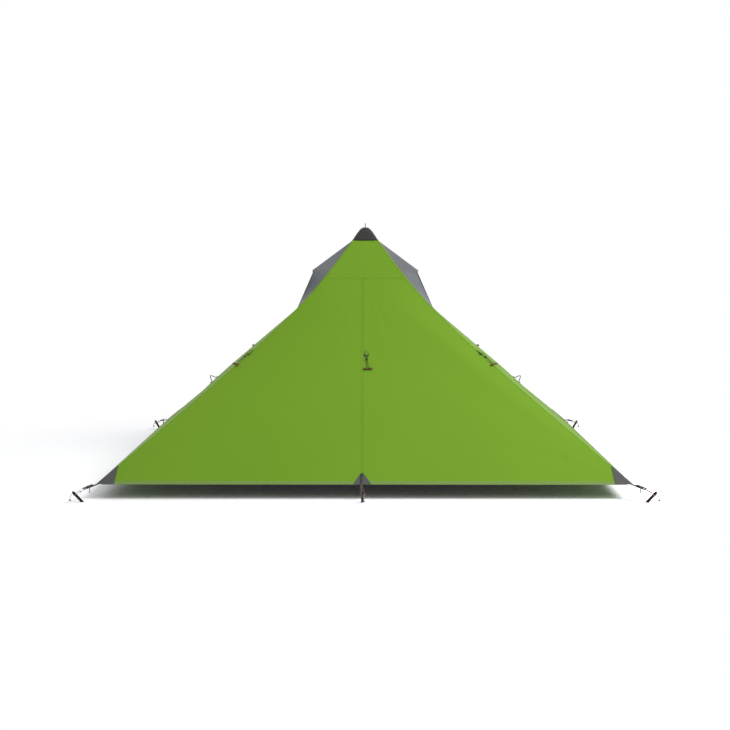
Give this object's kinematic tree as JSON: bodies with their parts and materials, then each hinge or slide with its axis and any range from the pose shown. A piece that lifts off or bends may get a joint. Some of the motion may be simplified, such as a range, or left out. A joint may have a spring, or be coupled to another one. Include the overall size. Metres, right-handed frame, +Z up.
{
  "type": "trekking tent",
  "caption": "Four-sided pyramid tent with a single centre pole, zipped front door, hooded roof vents, net inner with tub floor, corner straps and cord loops held by leaning pegs.",
  "frame": {"origin": "on the ground directly below the peak, at the underside of the inner floor", "axes": "+Z up, +X to the right seen from the front, -Y out of the door"},
  "size_m": [2.7046, 2.5519, 1.3561],
  "materials": {
    "fly_cloth": "satin ripstop with a thin coating",
    "vent_cloth": "satin ripstop",
    "dark_cloth": "matt reinforcement cloth",
    "insect_net": "fine net",
    "floor_cloth": "coated cloth",
    "peg_cord": "braided cord",
    "peg_metal": "dark anodised",
    "toggle_plastic": "moulded",
    "ring_plastic": "moulded",
    "prop_strip": "stiff strip in a cloth sleeve",
    "pole_metal": "satin anodised",
    "pole_plastic": "moulded",
    "grip_foam": "fine foam",
    "eyelet_metal": "plated",
    "zip_coil_plastic": "woven tape and coil",
    "zip_metal": "dark plated"
  },
  "bodies": {
    "shelter": {"corner_cord_back_left": "peg_cord", "corner_cord_back_right": "peg_cord", "corner_cord_front_left": "peg_cord", "corner_cord_front_right": "peg_cord", "corner_patch_back_left": "dark_cloth", "corner_patch_back_right": "dark_cloth", "corner_patch_front_left": "dark_cloth", "corner_patch_front_right": "dark_cloth", "corner_ring_back_left": "ring_plastic", "corner_ring_back_right": "ring_plastic", "corner_ring_front_left": "ring_plastic", "corner_ring_front_right": "ring_plastic", "fly_back_panel": "fly_cloth", "fly_front_left_panel": "fly_cloth", "fly_front_right_panel": "fly_cloth", "fly_front_yoke": "fly_cloth", "fly_left_panel": "fly_cloth", "fly_right_panel": "fly_cloth", "hem_cord_back": "peg_cord", "hem_cord_front": "peg_cord", "inner_back_wall": "insect_net", "inner_door_roll": "insect_net", "inner_floor": "floor_cloth", "inner_front_wall": "insect_net", "inner_left_wall": "insect_net", "inner_right_wall": "insect_net", "peak_cap": "dark_cloth", "peak_eyelet": "eyelet_metal", "pole_grip": "grip_foam", "pole_grip_tube": "pole_metal", "pole_lower_clamp": "pole_plastic", "toggle_back": "toggle_plastic", "toggle_back_left": "toggle_plastic", "toggle_back_right": "toggle_plastic", "toggle_front_left": "toggle_plastic", "toggle_front_right": "toggle_plastic", "vent_hood_left": "vent_cloth", "vent_hood_right": "vent_cloth", "vent_net_left": "insect_net", "vent_net_right": "insect_net", "zip_coil": "zip_coil_plastic"},
    "door": {"door_leaf": "fly_cloth", "toggle_front": "toggle_plastic"},
    "zip_slider_body": {"zip_slider": "zip_metal"},
    "zip_pull_body": {"zip_pull": "zip_metal"},
    "pole_middle": {"pole_middle_tube": "pole_metal", "pole_upper_clamp": "pole_plastic"},
    "pole_top": {"pole_thin_tube": "pole_metal", "pole_tip": "pole_plastic"},
    "upper_lever": {"pole_upper_lever": "pole_plastic"},
    "lower_lever": {"pole_lower_lever": "pole_plastic"},
    "vent_prop_left_body": {"vent_prop_left": "prop_strip"},
    "vent_prop_right_body": {"vent_prop_right": "prop_strip"},
    "peg_back_body": {"peg_back": "peg_metal"},
    "peg_back_left_body": {"peg_back_left": "peg_metal"},
    "peg_back_right_body": {"peg_back_right": "peg_metal"},
    "peg_front_body": {"peg_front": "peg_metal"},
    "peg_front_left_body": {"peg_front_left": "peg_metal"},
    "peg_front_right_body": {"peg_front_right": "peg_metal"}
  },
  "joints": [
    {"name": "door_swing", "type": "hinge", "parent": "shelter", "child": "door", "pos_m": [0.0063, -0.19709, 0.9994], "axis": [-0.6527, 0.5432, 0.5281], "range_deg": [0, 150]},
    {"name": "zip_slide", "type": "slide", "parent": "shelter", "child": "zip_slider_body", "axis": [0, 0.717, 0.6971], "range_m": [0, 1.2]},
    {"name": "zip_pull_swing", "type": "hinge", "parent": "zip_slider_body", "child": "zip_pull_body", "pos_m": [-0.012, -1.11911, 0.11439], "axis": [-1, 0, 0], "range_deg": [0, 150]},
    {"name": "pole_lower_slide", "type": "slide", "parent": "shelter", "child": "pole_middle", "axis": [0, 0, -1], "range_m": [0, 0.35]},
    {"name": "pole_upper_slide", "type": "slide", "parent": "pole_middle", "child": "pole_top", "axis": [0, 0, -1], "range_m": [0, 0.15]},
    {"name": "lower_lever_swing", "type": "hinge", "parent": "shelter", "child": "lower_lever", "pos_m": [0, -0.0167, 0.589], "axis": [0, 0, -1], "range_deg": [0, 110]},
    {"name": "upper_lever_swing", "type": "hinge", "parent": "pole_middle", "child": "upper_lever", "pos_m": [0, -0.0152, 1.004], "axis": [0, 0, -1], "range_deg": [0, 110]},
    {"name": "vent_prop_left_fold", "type": "hinge", "parent": "shelter", "child": "vent_prop_left_body", "pos_m": [-0.27678, 0, 1.0215], "axis": [0, -1, 0], "range_deg": [0, 45]},
    {"name": "vent_prop_right_fold", "type": "hinge", "parent": "shelter", "child": "vent_prop_right_body", "pos_m": [0.27678, 0, 1.0215], "axis": [0, 1, 0], "range_deg": [0, 45]},
    {"name": "peg_back_pull", "type": "slide", "parent": "shelter", "child": "peg_back_body", "axis": [0, 0.682, 0.7314], "range_m": [0, 0.14]},
    {"name": "peg_back_left_pull", "type": "slide", "parent": "shelter", "child": "peg_back_left_body", "axis": [-0.501, 0.4628, 0.7314], "range_m": [0, 0.14]},
    {"name": "peg_back_right_pull", "type": "slide", "parent": "shelter", "child": "peg_back_right_body", "axis": [0.501, 0.4628, 0.7314], "range_m": [0, 0.14]},
    {"name": "peg_front_pull", "type": "slide", "parent": "shelter", "child": "peg_front_body", "axis": [0.0679, -0.6786, 0.7314], "range_m": [0, 0.14]},
    {"name": "peg_front_left_pull", "type": "slide", "parent": "shelter", "child": "peg_front_left_body", "axis": [-0.501, -0.4628, 0.7314], "range_m": [0, 0.14]},
    {"name": "peg_front_right_pull", "type": "slide", "parent": "shelter", "child": "peg_front_right_body", "axis": [0.501, -0.4628, 0.7314], "range_m": [0, 0.14]}
  ]
}
